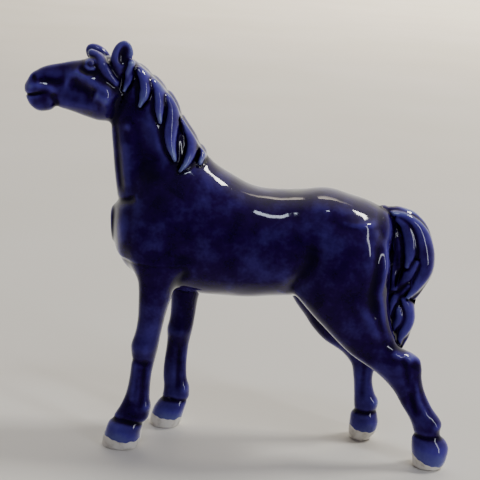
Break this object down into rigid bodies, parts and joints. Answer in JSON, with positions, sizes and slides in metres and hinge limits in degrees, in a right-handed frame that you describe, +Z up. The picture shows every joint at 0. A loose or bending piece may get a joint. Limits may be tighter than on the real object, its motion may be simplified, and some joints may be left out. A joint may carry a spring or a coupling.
{
  "type": "horse figurine",
  "caption": "Standing horse figurine in glazed porcelain: cobalt-blue body and mane, arched tail, pricked ears, bare white feet; stands free on four hooves.",
  "frame": {"origin": "bottom centre of the bounding box: on the plane of the four soles, below the middle of the figure", "axes": "+Z up; -X is the way the horse faces (nose); -Y is the horse's left side; X is the length"},
  "size_m": [0.1291, 0.031, 0.1196],
  "materials": {
    "cobalt_glaze": "glossy cobalt-blue glaze, near-black where it lies thick and greyer on the ridges",
    "bare_porcelain": "unglazed white porcelain, matt, wiped clean below the glaze line"
  },
  "bodies": {
    "root": {"trunk": "cobalt_glaze", "neck": "cobalt_glaze", "head": "cobalt_glaze", "ear_left": "cobalt_glaze", "ear_right": "cobalt_glaze", "eye_left": "cobalt_glaze", "eye_right": "cobalt_glaze", "forelock": "cobalt_glaze", "foreleg_left": "cobalt_glaze", "foreleg_right": "cobalt_glaze", "hindleg_left": "cobalt_glaze", "hindleg_right": "cobalt_glaze", "forefoot_left": "bare_porcelain", "forefoot_right": "bare_porcelain", "hindfoot_left": "bare_porcelain", "hindfoot_right": "bare_porcelain", "tail": "cobalt_glaze", "mane_lock_left_1": "cobalt_glaze", "mane_lock_left_2": "cobalt_glaze", "mane_lock_left_3": "cobalt_glaze", "mane_lock_left_4": "cobalt_glaze", "mane_lock_left_5": "cobalt_glaze", "mane_lock_left_6": "cobalt_glaze", "mane_lock_right_1": "cobalt_glaze", "mane_lock_right_2": "cobalt_glaze", "mane_lock_right_3": "cobalt_glaze", "mane_lock_right_4": "cobalt_glaze", "mane_lock_right_5": "cobalt_glaze", "mane_lock_right_6": "cobalt_glaze", "tail_strand_left_1": "cobalt_glaze", "tail_strand_left_2": "cobalt_glaze", "tail_strand_left_3": "cobalt_glaze", "tail_strand_left_4": "cobalt_glaze", "tail_strand_right_1": "cobalt_glaze", "tail_strand_right_2": "cobalt_glaze", "tail_strand_right_3": "cobalt_glaze", "tail_strand_right_4": "cobalt_glaze"}
  },
  "joints": []
}
